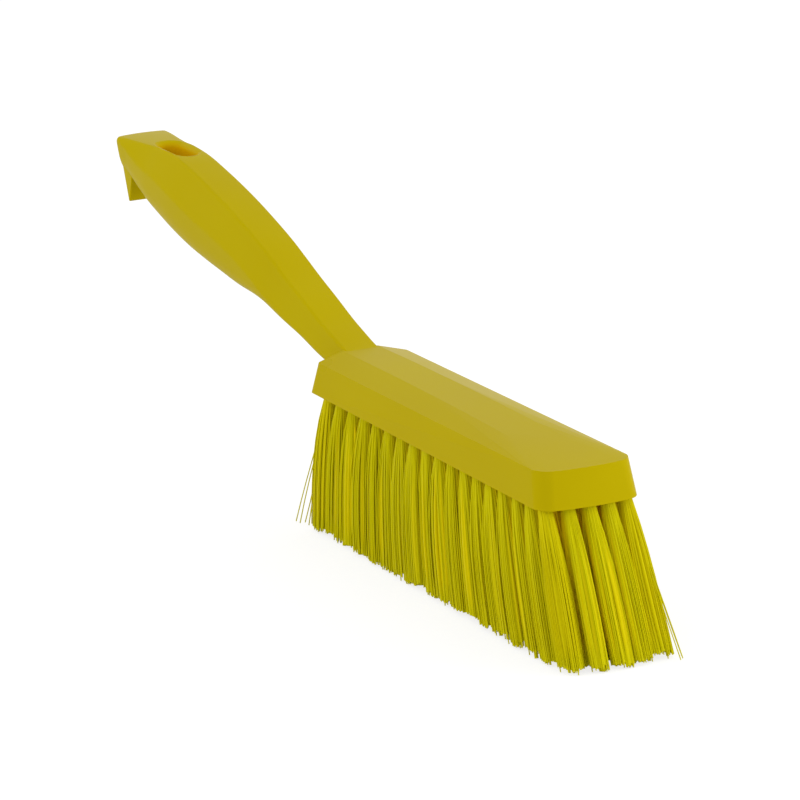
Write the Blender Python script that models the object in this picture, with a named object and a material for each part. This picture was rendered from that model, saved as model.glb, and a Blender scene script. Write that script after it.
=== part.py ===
# Hand brush: a block and handle moulded in one piece, with 90 tufts of filament anchored in the block.
# Metres, +Z up. The handle points to -X and the block's front to +X. The brush stands on its tips.

import math

import bmesh
import bpy

# Block, with x = 0 at its front edge and z = 0 at its underside
block_length = 0.161
front_width = 0.0361
back_width = 0.0369
front_bow = 0.002
front_side_height = 0.0119
back_side_height = 0.0100
front_draft = 0.0033
back_draft = 0.0012
front_side_draft = 0.0012
back_side_draft = 0.0022
front_corner = 0.0050
back_corner = 0.0025
edge_round = 0.0006

# Raised panel along the top of the block, which slopes down to the front edge
back_panel_width = 0.0130
front_panel_width = 0.0152
back_panel_height = 0.01245
front_panel_height = 0.01285
panel_crown = 0.00065
front_slope_length = 0.027

# Handle, from the back of the block to its tip
handle_length = 0.167
handle_rise = 0.039
handle_depth = 0.026
handle_width = 0.022
handle_top_width = 0.0126

# Hanging slot near the tip
slot_length = 0.024
slot_width = 0.010
slot_tip_distance = 0.030

# Hook under the tip: distances from the tip and depths below the top face of its edge and its root
hook_width = 0.0164
hook_edge = 0.0007
hook_edge_distance = 0.0064
hook_edge_depth = 0.0223
hook_root_distance = 0.0104
hook_root_depth = 0.0130

# Tufts, their holes and how far their tips fan out
bristle_length = 0.048
front_inset = 0.0046
back_inset = 0.00765
edge_inset = 0.00405
tuft_bow = 0.0022
tuft_radius = 0.0019
tip_radius = 0.0030
front_fan = 0.018
back_fan = 0.008
side_fan = 0.0040
hole_depth = 0.0082

# Slices of backing and anchors
gap = 0.0003
slice_thickness = 0.0010
slice_margin = 0.0003
anchor_height = 0.0014
anchor_thickness = 0.0005
overrun = 0.002

row_count = 18
tufts_across = 5
strands_per_tuft = 5
corner_steps = 4
bow_steps = 4
panel_steps = 6
slot_steps = 8
strip_steps = 6
tuft_sides = 6
strand_sides = 3

# Sections along the handle. Each row holds the place along the handle's length, the rise of the
# top face, the drops from it to the crease and to the belly as shares of handle_depth, then the
# widths of the top face and at the crease.
handle_shares = [
    (-0.060, -0.04, 0.23, 0.30, 0.96, 0.63),
    (0.000, 0.02, 0.28, 0.36, 0.96, 0.64),
    (0.048, 0.08, 0.32, 0.40, 0.97, 0.66),
    (0.093, 0.14, 0.35, 0.43, 0.98, 0.69),
    (0.168, 0.26, 0.40, 0.47, 0.99, 0.74),
    (0.240, 0.37, 0.45, 0.53, 1.00, 0.80),
    (0.317, 0.50, 0.48, 0.61, 1.00, 0.86),
    (0.367, 0.58, 0.46, 0.70, 1.00, 0.89),
    (0.441, 0.68, 0.45, 0.83, 1.00, 0.92),
    (0.515, 0.77, 0.46, 0.91, 1.00, 0.95),
    (0.590, 0.85, 0.48, 0.97, 0.99, 0.97),
    (0.665, 0.92, 0.48, 1.00, 0.97, 0.99),
    (0.742, 0.98, 0.44, 0.98, 0.95, 1.00),
    (0.818, 1.00, 0.36, 0.88, 0.96, 0.98),
    (0.860, 0.99, 0.31, 0.78, 1.02, 0.97),
    (0.892, 0.985, 0.26, 0.69, 1.12, 0.95),
    (0.930, 0.98, 0.18, 0.59, 1.26, 0.93),
    (0.960, 0.975, 0.10, 0.52, 1.34, 0.90),
    (0.980, 0.97, 0.06, 0.49, 1.36, 0.88),
    (1.000, 0.965, 0.04, 0.13, 1.28, 0.80),
]
# Underside of each section, from the crease to the belly: width, then drop
belly_shares = [(0.99, 0.27), (0.95, 0.64), (0.82, 0.91), (0.48, 1.00)]

yellow_plastic = (0.48, 0.40, 0.006, 1.0)
yellow_filament = (0.42, 0.40, 0.004, 1.0)
stainless_steel = (0.55, 0.55, 0.56, 1.0)

row_pitch = (block_length - front_inset - back_inset) / (row_count - 1)
outer_tuft = front_width / 2 - edge_inset
end_reach = tuft_radius + slice_margin
slice_half_width = outer_tuft + end_reach
middle_tuft = (tufts_across - 1) / 2
anchor_top = hole_depth - 2 * gap
anchor_low = anchor_top - anchor_height
plug_top = anchor_low - gap


def blend(first, last, share):
    return first + (last - first) * share


def clear_scene():
    for obj in list(bpy.data.objects):
        bpy.data.objects.remove(obj, do_unlink=True)


def make_material(name, colour, roughness, metallic):
    material = bpy.data.materials.new(name)
    material.use_nodes = True
    shader = material.node_tree.nodes["Principled BSDF"]
    shader.inputs["Base Color"].default_value = colour
    shader.inputs["Roughness"].default_value = roughness
    shader.inputs["Metallic"].default_value = metallic
    return material


def make_object(name, shape, parent):
    # A closed shape as an object, its faces turned to point out
    verts, faces = shape
    mesh = bpy.data.meshes.new(name)
    mesh.from_pydata(verts, [], faces)
    bm = bmesh.new()
    bm.from_mesh(mesh)
    bmesh.ops.recalc_face_normals(bm, faces=bm.faces)
    bm.to_mesh(mesh)
    bm.free()
    obj = bpy.data.objects.new(name, mesh)
    bpy.context.scene.collection.objects.link(obj)
    obj.parent = parent
    return obj


def combine(target, name, shape, operation):
    # Joins a shape to a piece, or cuts it out
    tool = make_object(name, shape, target.parent)
    tool.hide_render = True
    tool.display_type = "WIRE"
    modifier = target.modifiers.new(name, "BOOLEAN")
    modifier.operation = operation
    modifier.solver = "EXACT"
    modifier.object = tool


def bridge(rings):
    # Walls between rings of equal length, with the first and the last ring filled
    count = len(rings[0])
    verts = [point for ring in rings for point in ring]
    faces = [tuple(range(count)), tuple(range(len(verts) - count, len(verts)))]
    for low in range(0, len(verts) - count, count):
        for i in range(count):
            j = (i + 1) % count
            faces.append((low + i, low + j, low + count + j, low + count + i))
    return verts, faces


def join_shapes(shapes):
    verts = []
    faces = []
    for shape_verts, shape_faces in shapes:
        start = len(verts)
        verts.extend(shape_verts)
        faces.extend(tuple(start + i for i in face) for face in shape_faces)
    return verts, faces


def hull_of(points):
    # The convex shape around the points, with its flat faces whole
    bm = bmesh.new()
    for point in points:
        bm.verts.new(point)
    hull = bmesh.ops.convex_hull(bm, input=bm.verts)
    inside = {vert for vert in hull["geom_interior"] + hull["geom_unused"]
              if isinstance(vert, bmesh.types.BMVert)}
    bmesh.ops.delete(bm, geom=list(inside), context="VERTS")
    bmesh.ops.dissolve_limit(bm, angle_limit=math.radians(0.1), verts=bm.verts, edges=bm.edges)
    bm.verts.index_update()
    verts = [tuple(vert.co) for vert in bm.verts]
    faces = [tuple(vert.index for vert in face.verts) for face in bm.faces]
    bm.free()
    return verts, faces


def end_outline(end_x, outward, half_width, corner, bow):
    # Plan of one end of the block: two rounded corners and the bowed edge between them
    side = []
    for step in range(corner_steps + 1):
        angle = math.pi / 2 * step / corner_steps
        side.append((end_x - outward * corner * (1 - math.sin(angle)),
                     half_width - corner * (1 - math.cos(angle))))
    for step in range(1, bow_steps + 1):
        side.append((end_x, (half_width - corner) * (1 - step / bow_steps)))
    side = [(x + outward * bow * (1 - (y / half_width) ** 2), y) for x, y in side]
    return side + [(x, -y) for x, y in side]


def block_level(draft_share, inset):
    # Plan of the block where its walls lean in by a share of their draft, and by an inset
    front_half = front_width / 2 - front_side_draft * draft_share - inset
    back_half = back_width / 2 - back_side_draft * draft_share - inset
    front_x = -front_draft * draft_share - inset
    back_x = -block_length + back_draft * draft_share + inset
    return (end_outline(front_x, 1, front_half, front_corner, front_bow)
            + end_outline(back_x, -1, back_half, back_corner, 0))


def side_height(x):
    return blend(front_side_height, back_side_height, -x / block_length)


def panel_ridges():
    # The two long edges of the raised panel, a little crowned along their length
    points = []
    for step in range(panel_steps + 1):
        share = step / panel_steps
        x = blend(-block_length + back_draft, -front_slope_length, share)
        half = blend(back_panel_width, front_panel_width, share) / 2
        z = blend(back_panel_height, front_panel_height, share) + panel_crown * 4 * share * (1 - share)
        points += [(x, half, z), (x, -half, z)]
    return points


def block_shape():
    points = [(x, y, 0) for x, y in block_level(0, 0)]
    points += [(x, y, side_height(x) - edge_round) for x, y in block_level(1, 0)]
    points += [(x, y, side_height(x)) for x, y in block_level(1, edge_round)]
    return hull_of(points + panel_ridges())


def handle_section(place, rise, crease_drop, belly_drop, top_share, crease_share):
    x = -block_length - handle_length * place
    top = back_panel_height + handle_rise * rise
    crease = top - handle_depth * crease_drop
    belly = top - handle_depth * belly_drop
    half_width = handle_width / 2 * crease_share
    side = [(handle_top_width / 2 * top_share, top), (half_width, crease)]
    side += [(half_width * out, blend(crease, belly, down)) for out, down in belly_shares]
    return [(x, y, z) for y, z in side] + [(x, -y, z) for y, z in reversed(side)]


def slot_shape():
    # A hole with round ends, straight down through the handle
    middle = -block_length - handle_length + slot_tip_distance
    radius = slot_width / 2
    straight = slot_length / 2 - radius
    outline = []
    for end in (1, -1):
        for step in range(slot_steps + 1):
            angle = math.pi * (step / slot_steps - 0.5)
            outline.append((middle + end * (straight + radius * math.cos(angle)),
                            end * radius * math.sin(angle)))
    top = back_panel_height + handle_rise + overrun
    low = back_panel_height + handle_rise - handle_depth - overrun
    return bridge([[(x, y, low) for x, y in outline], [(x, y, top) for x, y in outline]])


def hook_shape():
    # A wedge across the tip that hangs down to a narrow edge
    tip = -block_length - handle_length
    top = back_panel_height + handle_rise
    buried = hook_root_depth / 2
    profile = [(tip + hook_edge_distance, top - hook_edge_depth),
               (tip + hook_edge_distance + hook_edge, top - hook_edge_depth),
               (tip + hook_root_distance, top - hook_root_depth),
               (tip + hook_root_distance, top - buried),
               (tip + hook_edge_distance * buried / hook_edge_depth, top - buried)]
    half = hook_width / 2
    return bridge([[(x, -half, z) for x, z in profile], [(x, half, z) for x, z in profile]])


def bow_at(y):
    return tuft_bow * (1 - (y / outer_tuft) ** 2)


def row_line(row):
    return -front_inset - row_pitch * row


def tuft_centre(row, across, height):
    # Middle of a tuft at a height above the block's underside. The hole leans as the tuft does.
    spread = -height / bristle_length
    row_fan = blend(front_fan, -back_fan, row / (row_count - 1))
    y = outer_tuft * across / middle_tuft
    x = row_line(row) + bow_at(y) + row_fan * spread
    return x, y + side_fan * spread * across / middle_tuft


def tuft_prism(row, across, low, high, radius):
    # A leaning prism around a tuft's middle, two of its sides facing the block's long sides
    rings = []
    for height in (low, high):
        x, y = tuft_centre(row, across, height)
        turns = [2 * math.pi * side / tuft_sides for side in range(tuft_sides)]
        rings.append([(x + radius * math.cos(turn), y + radius * math.sin(turn), height)
                      for turn in turns])
    return bridge(rings)


def strand_radius():
    # As thick as the strands of a tuft can be where they stand in their ring, a gap apart
    crowding = math.sin(math.pi / strands_per_tuft)
    return tuft_radius * crowding / (1 + crowding) - gap / 2


def strand_shape(row, across, strand):
    # One strand from inside its slice to the flat that it stands on
    radius = strand_radius()
    turn = 2 * math.pi * strand / strands_per_tuft + math.pi * row
    if across:
        turn += math.pi / strands_per_tuft * (row + abs(across)) / 2
    turn *= math.copysign(1, across)
    rings = []
    for height in (slice_thickness / 3, -bristle_length):
        spread = -height / bristle_length
        x, y = tuft_centre(row, across, height)
        ring_radius = blend(tuft_radius, tip_radius, spread) - radius
        x += ring_radius * math.cos(turn)
        y += ring_radius * math.sin(turn)
        corners = [turn + 2 * math.pi * side / strand_sides for side in range(strand_sides)]
        rings.append([(x + radius * math.cos(corner), y + radius * math.sin(corner), height)
                      for corner in corners])
    return bridge(rings)


def tuft_places():
    return [number - middle_tuft for number in range(tufts_across)]


def bowed_strip(front, back, half_width, low, high):
    # A flat strip across the block, its long edges bowed like the rows of tufts
    places = [half_width * (2 * step / strip_steps - 1) for step in range(strip_steps + 1)]
    outline = [(front + bow_at(y), y) for y in places]
    outline += [(back + bow_at(y), y) for y in reversed(places)]
    return bridge([[(x, y, low) for x, y in outline], [(x, y, high) for x, y in outline]])


def slice_shape(row):
    front = end_reach if row == 0 else row_pitch / 2 - gap / 2
    back = end_reach if row == row_count - 1 else row_pitch / 2 - gap / 2
    return bowed_strip(row_line(row) + front, row_line(row) - back, slice_half_width, 0, slice_thickness)


def pocket_shape():
    # Shallow recess in the underside that the slices lie in
    front = row_line(0) + end_reach + gap
    back = row_line(row_count - 1) - end_reach - gap
    return bowed_strip(front, back, slice_half_width + gap, -overrun, slice_thickness + gap)


def anchor_shape(row, clearance):
    # The row's anchors as one flat strip on edge, through the middle of each tuft
    end = middle_tuft + (tuft_radius - 2 * gap + clearance) / (2 * outer_tuft / (tufts_across - 1))
    middle = (anchor_low + anchor_top) / 2
    line = [tuft_centre(row, across, middle) for across in [-end] + tuft_places() + [end]]
    half = anchor_thickness / 2 + clearance
    outline = [(x + half, y) for x, y in line] + [(x - half, y) for x, y in reversed(line)]
    low = anchor_low - clearance
    high = anchor_top + clearance
    return bridge([[(x, y, low) for x, y in outline], [(x, y, high) for x, y in outline]])


def make_body(parent, material):
    body = make_object("handle_and_block", block_shape(), parent)
    sections = [handle_section(*shares) for shares in handle_shares]
    combine(body, "handle_shape", bridge(sections), "UNION")
    combine(body, "hook_shape", hook_shape(), "UNION")
    combine(body, "slot_cutter", slot_shape(), "DIFFERENCE")
    combine(body, "pocket_cutter", pocket_shape(), "DIFFERENCE")
    hole_radius = tuft_radius + gap / math.cos(math.pi / tuft_sides)
    holes = [tuft_prism(row, across, slice_thickness, hole_depth, hole_radius)
             for row in range(row_count) for across in tuft_places()]
    combine(body, "hole_cutter", join_shapes(holes), "DIFFERENCE")
    slits = [anchor_shape(row, gap) for row in range(row_count)]
    combine(body, "slit_cutter", join_shapes(slits), "DIFFERENCE")
    body.data.materials.append(material)


def make_tuft_row(row, parent, material):
    # A slice of backing with the roots above it and the strands below
    tufts = make_object(f"tuft_row_{row + 1:02d}", slice_shape(row), parent)
    shapes = []
    for across in tuft_places():
        shapes.append(tuft_prism(row, across, slice_thickness * 2 / 3, plug_top, tuft_radius))
        shapes += [strand_shape(row, across, strand) for strand in range(strands_per_tuft)]
    combine(tufts, f"tufts_of_row_{row + 1:02d}", join_shapes(shapes), "UNION")
    tufts.data.materials.append(material)


def make_anchor_row(row, parent, material):
    anchor = make_object(f"anchor_row_{row + 1:02d}", anchor_shape(row, 0), parent)
    anchor.data.materials.append(material)


def front_reach():
    # How far the foremost strand tips stand ahead of the block's front edge
    strands = [strand_shape(0, across, strand)
               for across in tuft_places() for strand in range(strands_per_tuft)]
    return max(x for verts, _ in strands for x, _, _ in verts)


def main():
    clear_scene()
    plastic = make_material("yellow_plastic", yellow_plastic, 0.38, 0)
    filament = make_material("yellow_filament", yellow_filament, 0.45, 0)
    steel = make_material("stainless_steel", stainless_steel, 0.35, 1)
    frame = bpy.data.objects.new("brush_frame", None)
    frame.location = ((block_length + handle_length - front_reach()) / 2, 0, bristle_length)
    bpy.context.scene.collection.objects.link(frame)
    make_body(frame, plastic)
    for row in range(row_count):
        make_tuft_row(row, frame, filament)
        make_anchor_row(row, frame, steel)


main()
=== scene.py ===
import math

import bmesh
import bpy
from mathutils import Matrix, Vector


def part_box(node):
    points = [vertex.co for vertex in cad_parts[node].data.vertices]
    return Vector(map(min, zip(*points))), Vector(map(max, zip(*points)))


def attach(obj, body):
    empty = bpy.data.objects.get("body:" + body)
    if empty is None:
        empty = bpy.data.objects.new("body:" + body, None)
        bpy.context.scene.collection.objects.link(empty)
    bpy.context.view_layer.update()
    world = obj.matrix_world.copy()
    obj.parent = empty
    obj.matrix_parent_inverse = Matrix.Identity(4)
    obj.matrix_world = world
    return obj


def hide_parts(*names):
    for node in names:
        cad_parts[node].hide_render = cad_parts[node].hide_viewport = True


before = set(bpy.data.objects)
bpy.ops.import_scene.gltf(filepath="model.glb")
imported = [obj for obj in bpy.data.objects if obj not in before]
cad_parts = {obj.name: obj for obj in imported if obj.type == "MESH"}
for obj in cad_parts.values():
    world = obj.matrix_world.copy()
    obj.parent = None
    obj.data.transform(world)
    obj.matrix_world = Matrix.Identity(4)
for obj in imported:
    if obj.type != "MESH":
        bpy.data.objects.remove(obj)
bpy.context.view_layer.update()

# The block's own frame: x = 0 at its front edge, z = 0 at its underside
bodyLow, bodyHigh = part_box("handle_and_block")
block = {
    "length": 0.161, "frontBow": 0.002, "baseHeight": bodyLow[2],
    "frontWidth": 0.0361, "backWidth": 0.0369,
    "frontSideHeight": 0.0119, "backSideHeight": 0.0100,
    "frontDraft": 0.0033, "backDraft": 0.0012, "frontSideDraft": 0.0012, "backSideDraft": 0.0022,
    "frontCorner": 0.0050, "backCorner": 0.0025,
    "backPanelWidth": 0.0130, "frontPanelWidth": 0.0152,
    "backPanelHeight": 0.01245, "frontPanelHeight": 0.01285,
    "panelCrown": 0.00065, "frontSlope": 0.027, "panelSteps": 12,
    "edgeRound": 0.0011, "underEdgeShare": 0.45, "sharpAngle": 5.5,
}
block["frontX"] = bodyHigh[0] - block["frontBow"]
origin = Vector((block["frontX"], 0, block["baseHeight"]))


def lerp(first, last, share):
    return first + (last - first) * share


def newPiece(name, verts, faces, shift=origin):
    mesh = bpy.data.meshes.new(name)
    mesh.from_pydata([Vector(vert) + shift for vert in verts], [], faces)
    bm = bmesh.new()
    bm.from_mesh(mesh)
    bmesh.ops.recalc_face_normals(bm, faces=bm.faces)
    bm.to_mesh(mesh)
    bm.free()
    piece = bpy.data.objects.new(name, mesh)
    bpy.context.scene.collection.objects.link(piece)
    return piece


def settle(piece):
    # What the modifiers make becomes the piece's own plain mesh
    depsgraph = bpy.context.evaluated_depsgraph_get()
    mesh = bpy.data.meshes.new_from_object(piece.evaluated_get(depsgraph), depsgraph=depsgraph)
    mesh.name = piece.name
    piece.modifiers.clear()
    piece.data = mesh
    return piece


def loft(rings):
    count = len(rings[0])
    verts = [point for ring in rings for point in ring]
    faces = [tuple(range(count)), tuple(range(len(verts) - count, len(verts)))]
    for low in range(0, len(verts) - count, count):
        for i in range(count):
            j = (i + 1) % count
            faces.append((low + i, low + j, low + count + j, low + count + i))
    return verts, faces


def hullOf(points, flatAngle=0.2):
    bm = bmesh.new()
    for point in points:
        bm.verts.new(point)
    hull = bmesh.ops.convex_hull(bm, input=bm.verts)
    inside = {vert for vert in hull["geom_interior"] + hull["geom_unused"]
              if isinstance(vert, bmesh.types.BMVert)}
    bmesh.ops.delete(bm, geom=list(inside), context="VERTS")
    bmesh.ops.dissolve_limit(bm, angle_limit=math.radians(flatAngle), verts=bm.verts, edges=bm.edges)
    bm.verts.index_update()
    verts = [vert.co.copy() for vert in bm.verts]
    faces = [tuple(vert.index for vert in face.verts) for face in bm.faces]
    bm.free()
    return verts, faces


def roundEdges(piece, width, leastAngle, weigh, segments=3):
    # A bevel on every edge sharper than the least angle, each as wide as its weight says
    bm = bmesh.new()
    bm.from_mesh(piece.data)
    bm.edges.ensure_lookup_table()
    weights = []
    for edge in bm.edges:
        sharp = len(edge.link_faces) == 2 and edge.calc_face_angle() > math.radians(leastAngle)
        weights.append(weigh(edge) if sharp else 0.0)
    bm.free()
    layer = piece.data.attributes.new("bevel_weight_edge", "FLOAT", "EDGE")
    layer.data.foreach_set("value", weights)
    bevel = piece.modifiers.new("rounding", "BEVEL")
    bevel.limit_method = "WEIGHT"
    bevel.width = width
    bevel.segments = segments
    return settle(piece)


def combine(target, tool, operation):
    modifier = target.modifiers.new(tool.name, "BOOLEAN")
    modifier.operation = operation
    modifier.solver = "EXACT"
    modifier.object = tool


# ---- the block
def endOutline(endX, outward, half, corner, bow, cornerSteps=18, bowSteps=10):
    side = []
    for step in range(cornerSteps + 1):
        turn = math.pi / 2 * step / cornerSteps
        side.append((endX - outward * corner * (1 - math.sin(turn)),
                     half - corner * (1 - math.cos(turn))))
    for step in range(1, bowSteps + 1):
        side.append((endX, (half - corner) * (1 - step / bowSteps)))
    side = [(x + outward * bow * (1 - (y / half) ** 2), y) for x, y in side]
    return side + [(x, -y) for x, y in side]


def blockLevel(draftShare):
    b = block
    frontHalf = b["frontWidth"] / 2 - b["frontSideDraft"] * draftShare
    backHalf = b["backWidth"] / 2 - b["backSideDraft"] * draftShare
    return (endOutline(-b["frontDraft"] * draftShare, 1, frontHalf, b["frontCorner"], b["frontBow"])
            + endOutline(-b["length"] + b["backDraft"] * draftShare, -1, backHalf, b["backCorner"], 0))


def sideHeight(x):
    return lerp(block["frontSideHeight"], block["backSideHeight"], -x / block["length"])


def buildBlock():
    b = block
    points = [(x, y, 0) for x, y in blockLevel(0)]
    points += [(x, y, sideHeight(x)) for x, y in blockLevel(1)]
    for step in range(b["panelSteps"] + 1):
        share = step / b["panelSteps"]
        x = lerp(-b["length"] + b["backDraft"], -b["frontSlope"], share)
        half = lerp(b["backPanelWidth"], b["frontPanelWidth"], share) / 2
        z = lerp(b["backPanelHeight"], b["frontPanelHeight"], share)
        z += b["panelCrown"] * 4 * share * (1 - share)
        points += [(x, half, z), (x, -half, z)]
    piece = newPiece("brushBody", *hullOf(points))
    middle = b["baseHeight"] + b["backSideHeight"] / 2

    def weigh(edge):
        return 1.0 if min(vert.co.z for vert in edge.verts) > middle else b["underEdgeShare"]
    return roundEdges(piece, b["edgeRound"], b["sharpAngle"], weigh)


# ---- the handle
handle = {
    "length": 0.167, "rise": 0.039, "depth": 0.026, "width": 0.022, "topWidth": 0.0126,
    "topEdgeReach": 0.0013, "creaseReach": 0.0009, "topCrown": 0.00022, "crownShares": (0, 0.4, 0.75),
    "station": 0.0014, "buried": 0.060, "tipRound": 0.0006, "tipRoundTurns": (25, 50, 72, 88),
    "leanFrom": 0.90, "leanSpan": 0.10, "leanCurve": 1.5,
    "tipLean": 0.287, "tipBow": 0.0005, "tipShift": 0.0005,
}
# Along the handle, as shares of its sizes: place, rise of the top, drop to the crease, drop to the belly,
# width of the top, width at the crease
handleShares = [
    (-0.060, -0.04, 0.23, 0.30, 0.96, 0.63),
    (0.000, 0.02, 0.28, 0.36, 0.96, 0.64),
    (0.048, 0.08, 0.32, 0.40, 0.97, 0.66),
    (0.093, 0.14, 0.35, 0.43, 0.98, 0.69),
    (0.168, 0.26, 0.40, 0.47, 0.99, 0.74),
    (0.240, 0.37, 0.45, 0.53, 1.00, 0.80),
    (0.317, 0.50, 0.48, 0.61, 1.00, 0.86),
    (0.367, 0.58, 0.46, 0.70, 1.00, 0.89),
    (0.441, 0.68, 0.45, 0.83, 1.00, 0.92),
    (0.515, 0.77, 0.46, 0.91, 1.00, 0.95),
    (0.590, 0.85, 0.48, 0.97, 0.99, 0.97),
    (0.665, 0.92, 0.48, 1.00, 0.97, 0.99),
    (0.742, 0.98, 0.44, 0.98, 0.95, 1.00),
    (0.818, 1.00, 0.36, 0.88, 0.96, 0.98),
    (0.860, 0.99, 0.31, 0.78, 1.02, 0.97),
    (0.892, 0.985, 0.26, 0.69, 1.12, 0.95),
    (0.930, 0.98, 0.18, 0.59, 1.26, 0.93),
    (0.960, 0.975, 0.10, 0.52, 1.37, 0.915),
    (0.980, 0.97, 0.06, 0.49, 1.42, 0.91),
    (1.000, 0.965, 0.04, 0.45, 1.43, 0.90),
]
# Round the belly from the crease down: half width, share of the way down
bellyShares = [(1.0, 0.0), (0.99, 0.27), (0.95, 0.64), (0.82, 0.91), (0.48, 1.0), (0.0, 1.02)]


def tableAt(table, place):
    # Smooth values between the rows of a table, by its first column
    place = min(max(place, table[0][0]), table[-1][0])
    row = max(i for i in range(len(table) - 1) if table[i][0] <= place)

    def slope(i, column):
        low, high = max(i - 1, 0), min(i + 1, len(table) - 1)
        return (table[high][column] - table[low][column]) / (table[high][0] - table[low][0])
    first, last = table[row], table[row + 1]
    span = last[0] - first[0]
    t = (place - first[0]) / span
    values = []
    for column in range(1, len(first)):
        values.append(first[column] * (1 + 2 * t) * (1 - t) ** 2 + last[column] * t * t * (3 - 2 * t)
                      + span * t * (1 - t) * (slope(row, column) * (1 - t) - slope(row + 1, column) * t))
    return values


def roundCorner(before, corner, after, reach, steps=6, most=0.45):
    # It takes no more of either side than the most says
    before, corner, after = Vector(before), Vector(corner), Vector(after)
    start = corner + (before - corner).normalized() * min(reach, (before - corner).length * most)
    end = corner + (after - corner).normalized() * min(reach, (after - corner).length * most)
    return [start * (1 - t) ** 2 + corner * (2 * t * (1 - t)) + end * t * t
            for t in (step / steps for step in range(steps + 1))]


def bellyCurve(half, crease, belly, steps=15):
    rows = [(i / (len(bellyShares) - 1), *shares) for i, shares in enumerate(bellyShares)]
    curve = [tableAt(rows, step / steps) for step in range(1, steps + 1)]
    return [Vector((half * out, lerp(crease, belly, down))) for out, down in curve]


def handleRing(place, inset=0.0):
    h = handle
    rise, creaseDrop, bellyDrop, topShare, creaseShare = tableAt(handleShares, place)
    top = block["backPanelHeight"] + h["rise"] * rise
    crease = top - h["depth"] * creaseDrop
    belly = top - h["depth"] * bellyDrop
    topHalf = h["topWidth"] / 2 * topShare
    half = h["width"] / 2 * creaseShare
    under = bellyCurve(half, crease, belly)
    flat = [Vector((topHalf * share, top + h["topCrown"] * (1 - share * share)))
            for share in h["crownShares"]]
    topEdge = Vector((topHalf, top))
    creaseEdge = Vector((half, crease))
    side = flat + roundCorner(flat[-1], topEdge, creaseEdge, h["topEdgeReach"])
    side += roundCorner(topEdge, creaseEdge, under[1], h["creaseReach"]) + under[1:]
    middle = (top + belly) / 2
    side = [Vector((y * (1 - inset / half), middle + (z - middle) * (1 - inset / (top - middle))))
            for y, z in side]
    return [(y, z) for y, z in side] + [(-y, z) for y, z in reversed(side[1:-1])], top


def topOf(x):
    place = (-block["length"] - x) / handle["length"]
    return block["backPanelHeight"] + handle["rise"] * tableAt(handleShares, place)[0]


def bellyOf(x):
    place = (-block["length"] - x) / handle["length"]
    return topOf(x) - handle["depth"] * tableAt(handleShares, place)[2]


def buildHandle():
    h = handle
    last = 1 - h["tipRound"] / h["length"]
    count = round((last + h["buried"]) * h["length"] / h["station"])
    stations = [(lerp(-h["buried"], last, i / count), 0.0) for i in range(count + 1)]
    for degrees in h["tipRoundTurns"]:
        turn = math.radians(degrees)
        stations.append((last + (1 - last) * math.sin(turn), h["tipRound"] * (1 - math.cos(turn))))
    rings = []
    for place, inset in stations:
        ring, top = handleRing(place, inset)
        lean = max(0.0, (place - h["leanFrom"]) / h["leanSpan"]) ** h["leanCurve"]
        points = []
        for y, z in ring:
            x = -block["length"] - h["length"] * place
            bow = h["tipBow"] * (y / (h["width"] / 2)) ** 2
            x += lean * (h["tipLean"] * (top - z) + bow - h["tipShift"])
            points.append((x, y, z))
        rings.append(points)
    return newPiece("handleShape", *loft(rings))


# Distances are from the handle's tip, and depths from its top
hook = {
    "edge": 0.0007, "edgeDistance": 0.0064, "edgeDepth": 0.0232, "edgeWidth": 0.0168,
    "rootDistance": 0.0104, "rootDepth": 0.0130, "rootWidth": 0.0192,
    "buriedShare": 0.6, "faceInset": 0.0004, "rounding": 0.0004, "sharpAngle": 10,
}


def buildHook():
    tip = -block["length"] - handle["length"]
    top = block["backPanelHeight"] + handle["rise"]
    buried = hook["rootDepth"] * hook["buriedShare"]
    profile = [(tip + hook["edgeDistance"], hook["edgeDepth"]),
               (tip + hook["edgeDistance"] + hook["edge"], hook["edgeDepth"]),
               (tip + hook["rootDistance"], hook["rootDepth"]),
               (tip + hook["rootDistance"], buried),
               (tip + hook["faceInset"] + hook["edgeDistance"] * buried / hook["edgeDepth"], buried)]
    points = []
    for x, depth in profile:
        half = lerp(hook["rootWidth"], hook["edgeWidth"], depth / hook["edgeDepth"]) / 2
        points += [(x, half, top - depth), (x, -half, top - depth)]
    piece = newPiece("hookShape", *hullOf(points))
    return roundEdges(piece, hook["rounding"], hook["sharpAngle"], lambda edge: 1.0)


slot = {
    "length": 0.0208, "width": 0.0074, "tipDistance": 0.030, "flare": 0.0024, "outerFlare": 0.00252,
    "bellyDip": 0.0006, "warmDepth": 0.0026, "endSteps": 14, "rimTurn": 15,
}
slotCentre = -block["length"] - handle["length"] + slot["tipDistance"]


def buildSlot():
    # The cutter follows the handle's top and underside, so that its rounded rim is even all round
    radius = slot["width"] / 2
    straight = slot["length"] / 2 - radius

    def outline(flare):
        points = []
        for end in (1, -1):
            for step in range(slot["endSteps"] + 1):
                turn = math.pi * (step / slot["endSteps"] - 0.5)
                points.append((slotCentre + end * (straight + (radius + flare) * math.cos(turn)),
                               end * (radius + flare) * math.sin(turn)))
        return points
    turns = [math.radians(turn) for turn in range(0, 91, slot["rimTurn"])]
    rim = [(slot["flare"] * (1 - math.sin(turn)), slot["flare"] * (1 - math.cos(turn))) for turn in turns]
    over = handle["topCrown"] + slot["flare"]
    rings = [[(x, y, topOf(x) + over) for x, y in outline(slot["outerFlare"])]]
    rings += [[(x, y, topOf(x) + handle["topCrown"] - down) for x, y in outline(out)]
              for out, down in rim]
    rings += [[(x, y, bellyOf(x) + down - slot["bellyDip"]) for x, y in outline(out)]
              for out, down in reversed(rim)]
    rings += [[(x, y, bellyOf(x) - over) for x, y in outline(slot["outerFlare"])]]
    return newPiece("slotShape", *loft(rings))


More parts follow.
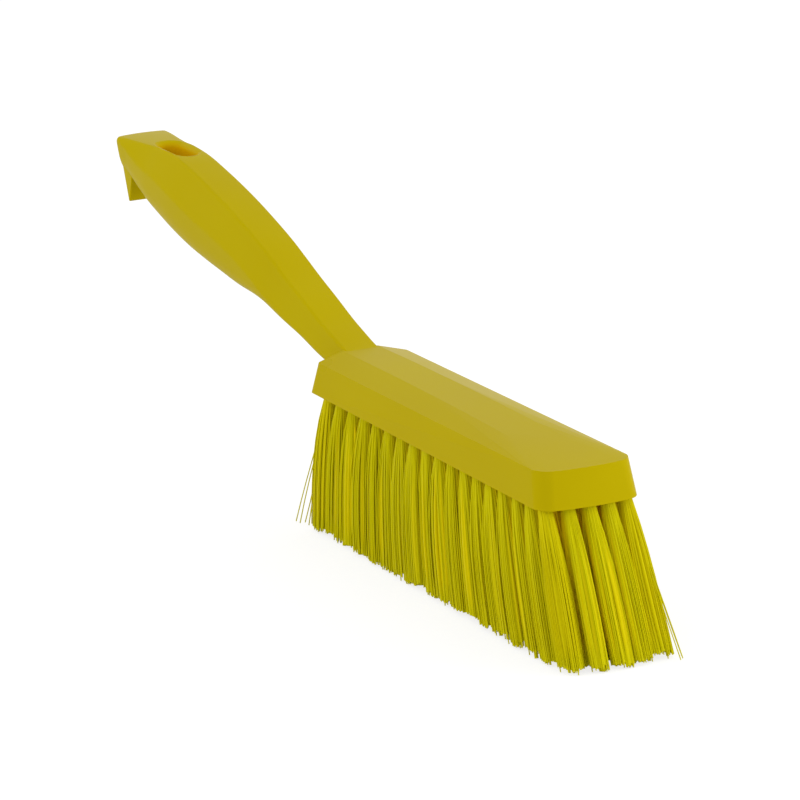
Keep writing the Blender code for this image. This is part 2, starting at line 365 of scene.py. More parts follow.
# ---- the tufts' places, shared by the holes and the bristles
tufts = {
    "rows": 18, "across": 5, "frontInset": 0.0046, "backInset": 0.00765, "edgeInset": 0.00405,
    "bow": 0.0022, "frontFan": 0.0205, "backFan": 0.0050, "frontSideFan": 0.0018, "backSideFan": -0.0004,
    "length": 0.048, "holeRadius": 0.00218, "holeDepth": 0.0082, "holeSides": 20,
    "mouthFlare": 0.00025, "mouthDepth": 0.000375, "mouthReach": 0.001,
}
rowPitch = (block["length"] - tufts["frontInset"] - tufts["backInset"]) / (tufts["rows"] - 1)
outerTuft = block["frontWidth"] / 2 - tufts["edgeInset"]


def tuftRoot(row, across):
    # Middle of a tuft at the block's underside, and how far its tips lean from there
    share = across / ((tufts["across"] - 1) / 2)
    y = outerTuft * share
    x = -tufts["frontInset"] - rowPitch * row + tufts["bow"] * (1 - share * share)
    place = row / (tufts["rows"] - 1)
    rowFan = lerp(tufts["frontFan"], -tufts["backFan"], place)
    sideFan = lerp(tufts["frontSideFan"], tufts["backSideFan"], place) * share
    return Vector((x, y, 0)), Vector((rowFan, sideFan, -tufts["length"]))


def tuftNumbers():
    middle = (tufts["across"] - 1) // 2
    return range(-middle, middle + 1)


def buildHoles():
    verts, faces = [], []
    flare = tufts["mouthFlare"]
    # How deep each ring is, and how much wider than the hole
    levels = [(-tufts["mouthReach"], 2 * flare), (0, flare), (tufts["mouthDepth"], 0),
              (tufts["holeDepth"], 0)]
    for row in range(tufts["rows"]):
        for across in tuftNumbers():
            root, lean = tuftRoot(row, across)
            rings = []
            for depth, grow in levels:
                middle = root - lean * (depth / tufts["length"])
                radius = tufts["holeRadius"] + grow
                turns = [2 * math.pi * side / tufts["holeSides"] for side in range(tufts["holeSides"])]
                rings.append([(middle.x + radius * math.cos(turn), middle.y + radius * math.sin(turn),
                               depth) for turn in turns])
            someVerts, someFaces = loft(rings)
            faces += [tuple(len(verts) + i for i in face) for face in someFaces]
            verts += someVerts
    return newPiece("holeShapes", verts, faces)


print("brush: block, handle and hook")
brushBody = buildBlock()
tools = [(buildHandle(), "UNION"), (buildHook(), "UNION"), (buildSlot(), "DIFFERENCE"),
         (buildHoles(), "DIFFERENCE")]
for tool, operation in tools:
    combine(brushBody, tool, operation)
settle(brushBody)
for tool, operation in tools:
    bpy.data.objects.remove(tool, do_unlink=True)


shading = {"crispAngle": 24, "mergeDistance": 2e-6, "faceWeight": 60}


def finishShading(piece):
    # Crisp moulded edges stay crisp, and broad faces keep their own flat normals
    bm = bmesh.new()
    bm.from_mesh(piece.data)
    bmesh.ops.remove_doubles(bm, verts=bm.verts, dist=shading["mergeDistance"])
    bmesh.ops.dissolve_degenerate(bm, edges=bm.edges, dist=shading["mergeDistance"])
    bm.to_mesh(piece.data)
    bm.free()
    piece.data.shade_smooth()
    piece.data.set_sharp_from_angle(angle=math.radians(shading["crispAngle"]))
    weighted = piece.modifiers.new("faceWeights", "WEIGHTED_NORMAL")
    weighted.mode = "FACE_AREA_WITH_ANGLE"
    weighted.weight = shading["faceWeight"]
    weighted.keep_sharp = True
    return settle(piece)


finishShading(brushBody)


def keepOnPoints(mesh, name, values):
    # Filled before the next attribute is made, which would move this one
    isVector = isinstance(values[0], Vector)
    layer = mesh.attributes.new(name, "FLOAT_VECTOR" if isVector else "FLOAT", "POINT")
    flat = [part for value in values for part in value] if isVector else values
    layer.data.foreach_set("vector" if isVector else "value", flat)


def slotDepth(point):
    # 0 on the handle's skin, 1 well inside the slot; it sets how much painted bounce light the slot's
    # wall gets
    x, y, z = point - origin
    reach = slot["flare"]
    if abs(x - slotCentre) > slot["length"] / 2 + reach or abs(y) > slot["width"] / 2 + reach:
        return 0.0
    below, above = topOf(x) - z, z - bellyOf(x)
    return min(max(min(below, above) / slot["warmDepth"], 0.0), 1.0)


keepOnPoints(brushBody.data, "slotDepth", [slotDepth(vert.co) for vert in brushBody.data.vertices])


# ---- materials
def link(tree, source, target):
    tree.links.new(source, target)


def addNode(tree, kind, place=(0, 0), **settings):
    node = tree.nodes.new(kind)
    node.location = place
    for name, value in settings.items():
        setattr(node, name, value)
    return node


def feed(tree, socket, source):
    # The source is another node's socket, or a plain value
    if isinstance(source, (int, float, tuple)):
        socket.default_value = source
    else:
        link(tree, source, socket)


def mapRange(tree, place, source, fromRange, toRange=(0.0, 1.0), kind="LINEAR"):
    node = addNode(tree, "ShaderNodeMapRange", place, interpolation_type=kind)
    names = ("Value", "From Min", "From Max", "To Min", "To Max")
    for name, value in zip(names, (source, *fromRange, *toRange)):
        feed(tree, node.inputs[name], value)
    return node.outputs["Result"]


def mixColors(tree, place, factor, first, second):
    node = addNode(tree, "ShaderNodeMix", place, data_type="RGBA")
    feed(tree, node.inputs["Factor"], factor)
    feed(tree, node.inputs[6], first)
    feed(tree, node.inputs[7], second)
    return node.outputs[2]


skinNoise = {"grainDetail": 3.0, "driftDetail": 2.0, "driftRoughness": 0.4, "driftRange": (0.15, 0.85)}


def mouldedSkin():
    # Fine satin skin and slow drifts of tone, for any plastic
    group = bpy.data.node_groups.new("mouldedSkin", "ShaderNodeTree")
    number, color = "NodeSocketFloat", "NodeSocketColor"
    inputs = (("Grain Size", number, 0.0006), ("Drift Size", number, 0.03),
              ("Light", color, (1, 1, 1, 1)), ("Deep", color, (0, 0, 0, 1)),
              ("Smoothest", number, 0.3), ("Roughest", number, 0.4))
    for name, kind, value in inputs:
        socket = group.interface.new_socket(name, in_out="INPUT", socket_type=kind)
        socket.default_value = value
    for name, kind in (("Color", color), ("Roughness", number), ("Height", number)):
        group.interface.new_socket(name, in_out="OUTPUT", socket_type=kind)
    given = addNode(group, "NodeGroupInput", (-900, 0)).outputs
    out = addNode(group, "NodeGroupOutput", (500, 0)).inputs
    coords = addNode(group, "ShaderNodeTexCoord", (-900, 300)).outputs["Object"]

    def noise(size, y, detail):
        scale = addNode(group, "ShaderNodeMath", (-700, y), operation="DIVIDE")
        feed(group, scale.inputs[0], 1.0)
        link(group, given[size], scale.inputs[1])
        texture = addNode(group, "ShaderNodeTexNoise", (-480, y))
        feed(group, texture.inputs["Detail"], detail)
        link(group, coords, texture.inputs["Vector"])
        link(group, scale.outputs[0], texture.inputs["Scale"])
        return texture
    grain = noise("Grain Size", -200, skinNoise["grainDetail"])
    drift = noise("Drift Size", 200, skinNoise["driftDetail"])
    feed(group, drift.inputs["Roughness"], skinNoise["driftRoughness"])
    fac, span = drift.outputs["Fac"], skinNoise["driftRange"]
    tone = mapRange(group, (-260, 200), fac, span, kind="SMOOTHSTEP")
    rough = mapRange(group, (0, -60), fac, span, (given["Smoothest"], given["Roughest"]), "SMOOTHSTEP")
    link(group, mixColors(group, (0, 200), tone, given["Deep"], given["Light"]), out["Color"])
    link(group, rough, out["Roughness"])
    link(group, grain.outputs["Fac"], out["Height"])
    return group


skinGroup = mouldedSkin()


def newMaterial(name):
    material = bpy.data.materials.new(name)
    material.use_nodes = True
    tree = material.node_tree
    return material, tree, tree.nodes["Principled BSDF"]


def skinOf(tree, settings):
    skin = addNode(tree, "ShaderNodeGroup", (-700, 0), node_tree=skinGroup)
    for name, value in settings.items():
        if name in skin.inputs:
            skin.inputs[name].default_value = value
    return skin


def addBump(tree, shader, height, look):
    bump = addNode(tree, "ShaderNodeBump", (-250, -250))
    bump.inputs["Strength"].default_value = look["bumpStrength"]
    bump.inputs["Distance"].default_value = look["bumpDistance"]
    link(tree, height, bump.inputs["Height"])
    link(tree, bump.outputs["Normal"], shader.inputs["Normal"])


def storedValue(tree, place, name):
    return addNode(tree, "ShaderNodeAttribute", place, attribute_name=name).outputs["Fac"]


plasticLook = {
    "Light": (0.518, 0.410, 0.0008, 1), "Deep": (0.498, 0.386, 0.0004, 1),
    "Grain Size": 0.0007, "Drift Size": 0.045, "Smoothest": 0.27, "Roughest": 0.33,
    # The slot's colour here is painted bounce light for the slot's wall
    "inSlot": (0.78, 0.47, 0.0004, 1), "specular": 0.015, "bumpStrength": 0.02, "bumpDistance": 0.00005,
}


def plasticMaterial():
    material, tree, shader = newMaterial("mouldedYellow")
    skin = skinOf(tree, plasticLook)
    # Painted bounce light: the slot's wall is painted warmer, standing in for the light its faces throw
    # on each other
    warm = mixColors(tree, (-350, 150), storedValue(tree, (-700, 250), "slotDepth"),
                     skin.outputs["Color"], plasticLook["inSlot"])
    link(tree, warm, shader.inputs["Base Color"])
    link(tree, skin.outputs["Roughness"], shader.inputs["Roughness"])
    shader.inputs["Specular IOR Level"].default_value = plasticLook["specular"]
    addBump(tree, shader, skin.outputs["Height"], plasticLook)
    return material


# The ranges are shares of a strand's length, except paleRange, which is of the strands' random tones
# The inner colour is painted light for covered strands, brighter and warmer than the outer one
filamentLook = {
    "outer": (0.640, 0.582, 0.0008, 1), "inner": (1.0, 0.705, 0.001, 1), "pale": (0.70, 0.650, 0.008, 1),
    "paintedCoverEnds": (0.86, 0.97), "paleRange": (0.72, 1.0), "paleMost": 0.4,
    "cutRange": (0.985, 1.0), "cutMost": 0.6, "roughness": 0.40, "specular": 0.03,
}


def filamentMaterial():
    material, tree, shader = newMaterial("yellowFilament")
    look = filamentLook
    depth = storedValue(tree, (-1100, 300), "bundleDepth")
    tone = storedValue(tree, (-900, 0), "strandTone")
    along = storedValue(tree, (-1100, -200), "along")
    # Covered strands are painted brighter and warmer, standing in for the light that passes through the
    # translucent filaments into their shade; this painted light ends before their tips, which show from
    # below
    fade = mapRange(tree, (-900, 500), along, look["paintedCoverEnds"], (1.0, 0.0))
    paintedCoverLight = addNode(tree, "ShaderNodeMath", (-700, 300), operation="MULTIPLY")
    link(tree, depth, paintedCoverLight.inputs[0])
    link(tree, fade, paintedCoverLight.inputs[1])
    body = mixColors(tree, (-500, 200), paintedCoverLight.outputs[0], look["outer"], look["inner"])
    # A random share of strands is painted paler, partly as their own tone and partly as painted highlight
    # streaks
    lift = mapRange(tree, (-500, -50), tone, look["paleRange"], (0.0, look["paleMost"]))
    streaks = mixColors(tree, (-300, 150), lift, body, look["pale"])
    ends = mapRange(tree, (-500, -300), along, look["cutRange"], (0.0, look["cutMost"]))
    link(tree, mixColors(tree, (-150, 150), ends, streaks, look["pale"]), shader.inputs["Base Color"])
    shader.inputs["Roughness"].default_value = look["roughness"]
    shader.inputs["Specular IOR Level"].default_value = look["specular"]
    return material


steelLook = {
    "Light": (0.62, 0.62, 0.62, 1), "Deep": (0.48, 0.48, 0.49, 1),
    "Grain Size": 0.0002, "Drift Size": 0.002, "Smoothest": 0.28, "Roughest": 0.42,
    "bumpStrength": 0.15, "bumpDistance": 0.00003,
}


def steelMaterial():
    material, tree, shader = newMaterial("anchorSteel")
    skin = skinOf(tree, steelLook)
    link(tree, skin.outputs["Color"], shader.inputs["Base Color"])
    link(tree, skin.outputs["Roughness"], shader.inputs["Roughness"])
    shader.inputs["Metallic"].default_value = 1.0
    addBump(tree, shader, skin.outputs["Height"], steelLook)
    return material


plastic = plasticMaterial()
filament = filamentMaterial()
steel = steelMaterial()

brushBody.data.materials.clear()
brushBody.data.materials.append(plastic)
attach(brushBody, "root")
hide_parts("handle_and_block")

for name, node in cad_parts.items():
    if name.startswith("anchor_row"):
        for materialSlot in node.material_slots:
            materialSlot.material = steel


# ---- the bristles: each row's tufts are points, and the tree grows a tuft of filaments from each
# Names with a capital are the tree's own inputs
bristles = {
    "Filaments": 145, "Root Radius": 0.00192, "Tip Radius": 0.00415, "Hollow": 0.82,
    "Filament Radius": 0.00019, "Swell": 0.0, "Sides": 5, "Root Depth": 0.0060,
    "Unevenness": 0.0009, "Clumping": 0.0007, "Sway": 0.0005, "Trim": 0.0016,
    "segments": 7, "clumps": 6, "scatter": 0.035, "ownShift": 0.6, "clumpSway": 0.6, "humpGain": 4.0,
    "ownTrim": 0.5, "strayFrom": 0.986, "strayReach": 0.9, "floorGap": 0.00022,
    "squareness": 0.75, "cellStretch": (1.2, 1.0, 1.0), "opening": 3.4,
    "frontSpread": 0.76, "spreadRows": 2, "firstSeed": 100, "seedStep": 20,
    # How much painted light under cover the strands of open, inner and corner tufts get
    "outerCover": 0.33, "innerCover": 1.0, "cornerCover": 0.12, "coverRange": 0.5,
}
# Thicker strands packed inside each tuft, as its filaments lie together there
packedStrands = {
    "Filaments": 60, "Root Radius": 0.00138, "Tip Radius": 0.0034, "Hollow": 0.0,
    "Filament Radius": 0.00032, "Swell": 1.1, "Sides": 6,
    "Trim": 0.0020, "Unevenness": 0.0007, "Clumping": 0.0006, "cover": 0.35, "firstSeed": 500,
}


def bristleTree():
    tree = bpy.data.node_groups.new("tuftGrower", "GeometryNodeTree")
    face = tree.interface
    face.new_socket("Geometry", in_out="INPUT", socket_type="NodeSocketGeometry")
    face.new_socket("Filaments", in_out="INPUT", socket_type="NodeSocketInt")
    for name in ("Root Radius", "Tip Radius", "Hollow", "Filament Radius", "Swell", "Root Depth",
                 "Unevenness", "Clumping", "Sway", "Trim"):
        face.new_socket(name, in_out="INPUT", socket_type="NodeSocketFloat")
    face.new_socket("Sides", in_out="INPUT", socket_type="NodeSocketInt")
    face.new_socket("Seed", in_out="INPUT", socket_type="NodeSocketInt")
    face.new_socket("Filament", in_out="INPUT", socket_type="NodeSocketMaterial")
    face.new_socket("Geometry", in_out="OUTPUT", socket_type="NodeSocketGeometry")
    given = addNode(tree, "NodeGroupInput", (-1800, 0))

    def put(socket, source):
        # A text is one of the tree's own inputs
        feed(tree, socket, given.outputs[source] if isinstance(source, str) else source)

    def maths(operation, *sources):
        node = addNode(tree, "ShaderNodeMath", operation=operation)
        for socket, source in zip(node.inputs, sources):
            put(socket, source)
        return node.outputs[0]

    def vectors(operation, *sources):
        node = addNode(tree, "ShaderNodeVectorMath", operation=operation)
        for socket, source in zip(node.inputs, sources):
            put(socket, source)
        return node.outputs["Value" if operation in ("DOT_PRODUCT", "LENGTH") else "Vector"]

    def scaled(vector, factor):
        node = addNode(tree, "ShaderNodeVectorMath", operation="SCALE")
        put(node.inputs[0], vector)
        put(node.inputs["Scale"], factor)
        return node.outputs[0]

    def joined(x, y, z):
        node = addNode(tree, "ShaderNodeCombineXYZ")
        for socket, source in zip(node.inputs, (x, y, z)):
            put(socket, source)
        return node.outputs[0]

    def randomFloat(low, high, number, salt):
        node = addNode(tree, "FunctionNodeRandomValue", data_type="FLOAT")
        put(node.inputs[2], low)
        put(node.inputs[3], high)
        put(node.inputs["ID"], number)
        put(node.inputs["Seed"], maths("ADD", "Seed", salt))
        return node.outputs[1]

    def readAttribute(name, kind="FLOAT"):
        node = addNode(tree, "GeometryNodeInputNamedAttribute", data_type=kind)
        node.inputs["Name"].default_value = name
        return node.outputs["Attribute"]

    def keep(geometry, name, source, kind="FLOAT"):
        node = addNode(tree, "GeometryNodeStoreNamedAttribute", data_type=kind, domain="POINT")
        link(tree, geometry, node.inputs["Geometry"])
        node.inputs["Name"].default_value = name
        put(node.inputs["Value"], source)
        return node.outputs["Geometry"]

    goldenTurn, numbersPerTuft, stub = 0.6180340, 16.0, 0.001
    # One point for each filament, spread over the tuft's root as seeds are in a sunflower
    tuftNumber = addNode(tree, "GeometryNodeInputIndex").outputs[0]
    numbered = keep(given.outputs["Geometry"], "tuftNumber", tuftNumber)
    copies = addNode(tree, "GeometryNodeDuplicateElements", domain="POINT")
    link(tree, numbered, copies.inputs["Geometry"])
    put(copies.inputs["Amount"], "Filaments")
    nth = copies.outputs["Duplicate Index"]
    index = addNode(tree, "GeometryNodeInputIndex").outputs[0]
    reach = maths("SQRT", maths("DIVIDE", maths("ADD", nth, 0.5), "Filaments"))
    reach = maths("ADD", "Hollow", maths("MULTIPLY", reach, maths("SUBTRACT", 1.0, "Hollow")))
    reach = maths("ADD", reach, randomFloat(-bristles["scatter"], bristles["scatter"], index, 1))
    turnShare = maths("FRACT", maths("MULTIPLY", nth, goldenTurn))
    turn = maths("MULTIPLY", turnShare, math.tau)
    outward = joined(maths("COSINE", turn), maths("SINE", turn), 0.0)
    rootOffset = scaled(outward, maths("MULTIPLY", reach, "Root Radius"))

    # Filaments near each other at the root lean together
    clump = maths("FLOOR", maths("MULTIPLY", turnShare, float(bristles["clumps"])))
    clumpNumber = maths("ADD", maths("MULTIPLY", readAttribute("tuftNumber"), numbersPerTuft), clump)
    clumpShift = joined(randomFloat(-1.0, 1.0, clumpNumber, 2),
                        randomFloat(-1.0, 1.0, clumpNumber, 3), 0.0)
    ownShift = joined(randomFloat(-1.0, 1.0, index, 4), randomFloat(-1.0, 1.0, index, 5), 0.0)
    # The tips fill a cell of the row rather than a disc, so that tufts meet below their roots
    widest = maths("MAXIMUM", maths("ABSOLUTE", maths("COSINE", turn)),
                   maths("ABSOLUTE", maths("SINE", turn)))
    squared = maths("POWER", widest, -bristles["squareness"])
    tipReach = maths("MULTIPLY", maths("MULTIPLY", reach, "Tip Radius"), readAttribute("spread"))
    tipOffset = scaled(outward, maths("MULTIPLY", tipReach, squared))
    tipOffset = vectors("MULTIPLY", tipOffset, bristles["cellStretch"])
    tipOffset = vectors("ADD", tipOffset, scaled(clumpShift, "Clumping"))
    ownReach = maths("MULTIPLY", "Clumping", bristles["ownShift"])
    tipOffset = vectors("ADD", tipOffset, scaled(ownShift, ownReach))

    # Each ends a little above the floor, and about one in seventy almost reaches it
    clumpTrim = maths("MULTIPLY", randomFloat(-1.0, 1.0, clumpNumber, 6), "Unevenness")
    ownTrim = randomFloat(-bristles["ownTrim"], bristles["ownTrim"], index, 7)
    shortBy = maths("ADD", maths("ADD", "Trim", clumpTrim), maths("MULTIPLY", ownTrim, "Unevenness"))
    isStray = maths("GREATER_THAN", randomFloat(0.0, 1.0, index, 8), bristles["strayFrom"])
    strayShare = maths("MULTIPLY", isStray, bristles["strayReach"])
    shortBy = maths("MULTIPLY", shortBy, maths("SUBTRACT", 1.0, strayShare))
    shortBy = maths("MAXIMUM", shortBy, bristles["floorGap"])

    lean = readAttribute("lean", "FLOAT_VECTOR")
    length = maths("MULTIPLY", vectors("DOT_PRODUCT", lean, (0.0, 0.0, 1.0)), -1.0)
    rootShift = scaled(lean, maths("DIVIDE", maths("MULTIPLY", "Root Depth", -1.0), length))
    mouth = maths("DIVIDE", "Root Depth", maths("ADD", "Root Depth", length))
    tipShare = maths("SUBTRACT", 1.0, maths("DIVIDE", shortBy, length))
    tipShift = scaled(lean, tipShare)
    # 0 for a strand in the open, 1 for one that others cover; it sets how much painted light the strand
    # gets under cover
    facing = vectors("DOT_PRODUCT", outward, readAttribute("openSide", "FLOAT_VECTOR"))
    openness = maths("MULTIPLY", facing, maths("MULTIPLY", reach, bristles["coverRange"]))
    bundleDepth = maths("SUBTRACT", readAttribute("covered"), openness)
    clampDepth = addNode(tree, "ShaderNodeClamp")
    put(clampDepth.inputs["Value"], bundleDepth)
    points = copies.outputs["Geometry"]
    points = keep(points, "rootShift", rootShift, "FLOAT_VECTOR")
    points = keep(points, "tipShift", tipShift, "FLOAT_VECTOR")
    points = keep(points, "rootOffset", rootOffset, "FLOAT_VECTOR")
    points = keep(points, "flare", vectors("SUBTRACT", tipOffset, rootOffset), "FLOAT_VECTOR")
    points = keep(points, "mouth", mouth)
    sway = vectors("ADD", scaled(clumpShift, bristles["clumpSway"]), ownShift)
    points = keep(points, "sway", sway, "FLOAT_VECTOR")
    points = keep(points, "bundleDepth", clampDepth.outputs[0])
    points = keep(points, "strandTone", randomFloat(0.0, 1.0, index, 9))

    # A short curve on each point, drawn out from its root to its tip
    line = addNode(tree, "GeometryNodeCurvePrimitiveLine")
    line.inputs["End"].default_value = (0.0, 0.0, -stub)
    fine = addNode(tree, "GeometryNodeResampleCurve")
    link(tree, line.outputs["Curve"], fine.inputs["Curve"])
    fine.inputs["Count"].default_value = bristles["segments"] + 1
    grown = addNode(tree, "GeometryNodeInstanceOnPoints")
    link(tree, points, grown.inputs["Points"])
    link(tree, fine.outputs["Curve"], grown.inputs["Instance"])
    real = addNode(tree, "GeometryNodeRealizeInstances")
    link(tree, grown.outputs["Instances"], real.inputs["Geometry"])
    along = addNode(tree, "GeometryNodeSplineParameter").outputs["Factor"]
    curves = keep(real.outputs["Geometry"], "along", along)
    along = readAttribute("along")
    position = addNode(tree, "GeometryNodeInputPosition").outputs[0]
    start = vectors("SUBTRACT", position, joined(0.0, 0.0, maths("MULTIPLY", along, -stub)))
    rest = maths("SUBTRACT", 1.0, along)
    straight = vectors("ADD", scaled(readAttribute("rootShift", "FLOAT_VECTOR"), rest),
                       scaled(readAttribute("tipShift", "FLOAT_VECTOR"), along))
    # Below the hole's mouth a tuft opens quickly at first, then hangs almost straight
    mouthAt = readAttribute("mouth")
    below = maths("DIVIDE", maths("MAXIMUM", maths("SUBTRACT", along, mouthAt), 0.0),
                  maths("SUBTRACT", 1.0, mouthAt))
    opening = maths("SUBTRACT", 1.0, maths("POWER", maths("SUBTRACT", 1.0, below), bristles["opening"]))
    flared = vectors("ADD", readAttribute("rootOffset", "FLOAT_VECTOR"),
                     scaled(readAttribute("flare", "FLOAT_VECTOR"), opening))
    hump = maths("MULTIPLY", maths("MULTIPLY", below, below), rest)
    swayReach = maths("MULTIPLY", hump, maths("MULTIPLY", "Sway", bristles["humpGain"]))
    swayed = scaled(readAttribute("sway", "FLOAT_VECTOR"), swayReach)
    placed = vectors("ADD", vectors("ADD", vectors("ADD", start, straight), flared), swayed)
    curves = keep(curves, "opening", opening)
    shaped = addNode(tree, "GeometryNodeSetPosition")
    link(tree, curves, shaped.inputs["Geometry"])
    link(tree, placed, shaped.inputs["Position"])
    profile = addNode(tree, "GeometryNodeCurvePrimitiveCircle")
    put(profile.inputs["Resolution"], "Sides")
    put(profile.inputs["Radius"], "Filament Radius")
    skinned = addNode(tree, "GeometryNodeCurveToMesh")
    link(tree, shaped.outputs["Geometry"], skinned.inputs["Curve"])
    link(tree, profile.outputs["Curve"], skinned.inputs["Profile Curve"])
    # Packed strands swell as their tuft opens
    put(skinned.inputs["Scale"], maths("ADD", 1.0, maths("MULTIPLY", "Swell", readAttribute("opening"))))
    skinned.inputs["Fill Caps"].default_value = True
    whole = addNode(tree, "GeometryNodeRealizeInstances")
    link(tree, skinned.outputs["Mesh"], whole.inputs["Geometry"])
    dressed = addNode(tree, "GeometryNodeSetMaterial")
    link(tree, whole.outputs["Geometry"], dressed.inputs["Geometry"])
    put(dressed.inputs["Material"], "Filament")
    out = addNode(tree, "NodeGroupOutput", (400, 0))
    link(tree, dressed.outputs["Geometry"], out.inputs["Geometry"])
    return tree


tuftGrower = bristleTree()
socketId = {item.name: item.identifier for item in tuftGrower.interface.items_tree
            if item.item_type == "SOCKET" and item.in_out == "INPUT"}


def growFrom(name, tuftList, changes):
    # The tree reads each tuft's lean, open side, cover and spread from its point
    mesh = bpy.data.meshes.new(name)
    mesh.from_pydata([tuft["root"] + origin for tuft in tuftList], [], [])
    for key in ("lean", "openSide", "covered", "spread"):
        keepOnPoints(mesh, key, [tuft[key] for tuft in tuftList])
    piece = bpy.data.objects.new(name, mesh)
    bpy.context.scene.collection.objects.link(piece)
    modifier = piece.modifiers.new("grow", "NODES")
    modifier.node_group = tuftGrower
    for socketName, value in {**bristles, **changes}.items():
        if socketName in socketId:
            modifier[socketId[socketName]] = value
    modifier[socketId["Filament"]] = filament
    settle(piece)
    piece.data.shade_smooth()
    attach(piece, "root")
    return piece


def tuftsOf(row):
    outermost = max(tuftNumbers())
    openX = (row == 0) - (row == tufts["rows"] - 1)
    tuftList = []
    for across in tuftNumbers():
        root, lean = tuftRoot(row, across)
        openY = (across == outermost) - (across == -outermost)
        side = Vector((openX, openY, 0))
        covered = bristles["outerCover"] if openX or openY else bristles["innerCover"]
        packedCover = packedStrands["cover"]
        if openX and openY:
            # A corner tuft is open nearly all round
            side, covered, packedCover = Vector((0, 0, 0)), bristles["cornerCover"], 0.0
        tuftList.append({
            "root": root, "lean": lean, "openSide": side, "covered": covered, "packedCover": packedCover,
            "spread": lerp(bristles["frontSpread"], 1.0, min(row / bristles["spreadRows"], 1)),
        })
    return tuftList


def growRow(row):
    tuftList = tuftsOf(row)
    seedShift = bristles["seedStep"] * row
    fine = growFrom(f"bristleRow{row + 1:02d}", tuftList, {"Seed": bristles["firstSeed"] + seedShift})
    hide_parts(f"tuft_row_{row + 1:02d}")
    # Packed strands lie under the fine ones and get more of the painted light under cover
    for tuft in tuftList:
        tuft["covered"] += tuft["packedCover"]
    packed = {**packedStrands, "Seed": packedStrands["firstSeed"] + seedShift}
    growFrom(f"packedRow{row + 1:02d}", tuftList, packed)


# A few stray filaments at two corners. Tips: row, tuft across, and how far the tip is past the root
strays = {"lift": 0.0005, "rootShare": 0.3, "seed": 900, "tips": [
    (17, -2, (-0.0186, -0.0048)), (17, -2, (-0.0160, -0.0046)), (17, -2, (-0.0158, -0.0028)),
    (17, -2, (-0.0122, -0.0032)), (0, 2, (0.0256, 0.0062)), (0, 2, (0.0236, 0.0070)),
    (0, 2, (0.0268, 0.0048)),
]}


def growStrays():
    tuftList = []
    for row, across, (leanX, leanY) in strays["tips"]:
        side = 1 if leanX > 0 else -1
        shift = Vector((strays["rootShare"] * tufts["holeRadius"] * side, 0, 0))
        tuftList.append({
            "root": tuftRoot(row, across)[0] + shift, "lean": Vector((leanX, leanY, -tufts["length"])),
            "openSide": Vector((0, 0, 0)), "covered": 0.0, "spread": 1.0,
        })
    growFrom("bristleStrays", tuftList, {
        "Filaments": 1, "Root Radius": 0.0, "Tip Radius": 0.0, "Clumping": 0.0, "Trim": strays["lift"],
        "Unevenness": 0.0, "Seed": strays["seed"],
    })


print("brush: bristles")
for row in range(tufts["rows"]):
    growRow(row)
growStrays()


# ---- studio
studio = {
    "white": 1.0, "skyHeights": (0.1, 0.7), "skyLow": 0.87, "skyHigh": 0.83,
    "floorHalf": 6.0, "floorBounce": 0.74, "floorSeen": 0.30, "floorGlow": 0.78,
}
lamps = {
    "frontSoftbox": {"place": (1.0, 1.4, 0.45), "aim": (0.1, 0, 0.05), "size": (1.0, 0.8), "power": 10},
    "sideSoftbox": {"place": (-0.3, -1.6, 0.6), "aim": (0.0, 0, 0.04), "size": (1.4, 1.0), "power": 5},
}
# The angles are in degrees, and the target is in the block's own frame
view = {
    "azimuth": 63.354, "elevation": 15.83, "roll": -1.099, "distance": 2.338436,
    "target": (-0.131238, 0, 0.001629), "lens": 322.47, "sensor": 36, "clip": (0.1, 50),
}


def aimCamera():
    turn, tilt, roll = (math.radians(view[name]) for name in ("azimuth", "elevation", "roll"))
    forward = Vector((-math.sin(turn) * math.cos(tilt), math.cos(turn) * math.cos(tilt),
                      -math.sin(tilt)))
    level = Vector((math.cos(turn), math.sin(turn), 0))
    up = level.cross(forward)
    right = level * math.cos(roll) + up * math.sin(roll)
    up = up * math.cos(roll) - level * math.sin(roll)
    data = bpy.data.cameras.new("photoView")
    data.lens = view["lens"]
    data.sensor_width = view["sensor"]
    data.clip_start, data.clip_end = view["clip"]
    camera = bpy.data.objects.new("photoView", data)
    bpy.context.scene.collection.objects.link(camera)
    turned = Matrix((right, up, -forward)).transposed().to_4x4()
    place = Vector(view["target"]) + origin - forward * view["distance"]
    camera.matrix_world = Matrix.Translation(place) @ turned
    bpy.context.scene.camera = camera


def addLamp(name, place, aim, size, power):
    data = bpy.data.lights.new(name, "AREA")
    data.shape = "RECTANGLE"
    data.size, data.size_y = size
    data.energy = power
    lamp = bpy.data.objects.new(name, data)
    bpy.context.scene.collection.objects.link(lamp)
    lamp.visible_glossy = False
    lamp.location = place
    lamp.rotation_euler = (Vector(aim) - Vector(place)).to_track_quat("-Z", "Y").to_euler()


def mixShaders(tree, factor, first, second):
    node = addNode(tree, "ShaderNodeMixShader", (400, 0))
    for socket, source in zip(node.inputs, (factor, first, second)):
        link(tree, source, socket)
    return node.outputs[0]


def backgroundRays(tree):
    # 1 for the rays that show the background: the camera's own, and those in gloss or glass
    path = addNode(tree, "ShaderNodeLightPath", (-600, 300))
    factor = path.outputs["Is Camera Ray"]
    for name, x in (("Is Glossy Ray", -400), ("Is Transmission Ray", -200)):
        either = addNode(tree, "ShaderNodeMath", (x, 300), operation="MAXIMUM")
        link(tree, factor, either.inputs[0])
        link(tree, path.outputs[name], either.inputs[1])
        factor = either.outputs[0]
    return factor


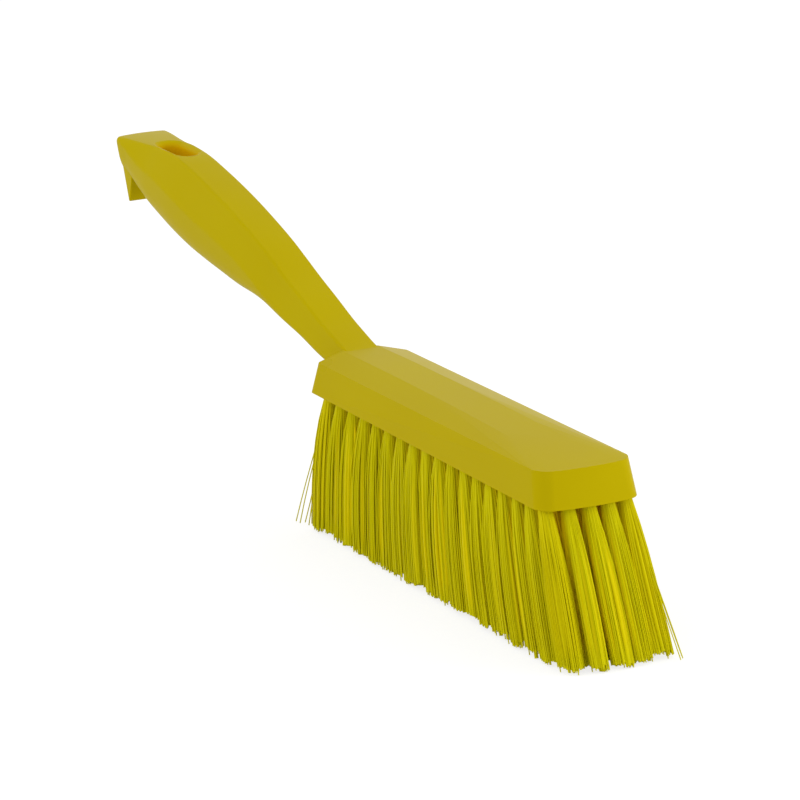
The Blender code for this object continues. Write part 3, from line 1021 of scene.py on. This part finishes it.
def buildFloor():
    half = studio["floorHalf"]
    corners = [(-half, -half, 0), (half, -half, 0), (half, half, 0), (-half, half, 0)]
    piece = newPiece("floor", corners, [(0, 1, 2, 3)], Vector((0, 0, 0)))
    material = bpy.data.materials.new("paleFloor")
    material.use_nodes = True
    tree = material.node_tree
    tree.nodes.clear()
    out = addNode(tree, "ShaderNodeOutputMaterial", (600, 0))

    def diffuse(value, y):
        node = addNode(tree, "ShaderNodeBsdfDiffuse", (-200, y))
        node.inputs["Color"].default_value = (value, value, value, 1)
        return node.outputs[0]

    # Seen in the background it is white with a light shadow, and otherwise a plain pale floor
    glow = addNode(tree, "ShaderNodeEmission", (-200, -250))
    glow.inputs["Strength"].default_value = studio["floorGlow"]
    seen = addNode(tree, "ShaderNodeAddShader", (100, -150))
    link(tree, diffuse(studio["floorSeen"], -100), seen.inputs[0])
    link(tree, glow.outputs[0], seen.inputs[1])
    bounce = diffuse(studio["floorBounce"], 50)
    link(tree, mixShaders(tree, backgroundRays(tree), bounce, seen.outputs[0]), out.inputs["Surface"])
    piece.data.materials.append(material)


def buildSky():
    # White in the background, and a soft even light a little dimmer overhead
    world = bpy.data.worlds.new("studioSky")
    bpy.context.scene.world = world
    world.use_nodes = True
    tree = world.node_tree
    tree.nodes.clear()
    out = addNode(tree, "ShaderNodeOutputWorld", (600, 0))
    coords = addNode(tree, "ShaderNodeTexCoord", (-700, 0))
    split = addNode(tree, "ShaderNodeSeparateXYZ", (-500, 0))
    link(tree, coords.outputs["Generated"], split.inputs[0])

    def sky(strength, y):
        node = addNode(tree, "ShaderNodeBackground", (0, y))
        node.inputs["Color"].default_value = (1, 1, 1, 1)
        feed(tree, node.inputs["Strength"], strength)
        return node.outputs[0]
    level = mapRange(tree, (-250, 0), split.outputs["Z"], studio["skyHeights"],
                     (studio["skyLow"], studio["skyHigh"]), "SMOOTHSTEP")
    light = sky(level, 0)
    white = sky(studio["white"], -150)
    link(tree, mixShaders(tree, backgroundRays(tree), light, white), out.inputs["Surface"])


print("brush: studio")
aimCamera()
buildFloor()
buildSky()
for name, settings in lamps.items():
    addLamp(name, **settings)
bpy.context.scene.view_settings.view_transform = "Standard"

print("brush: done")
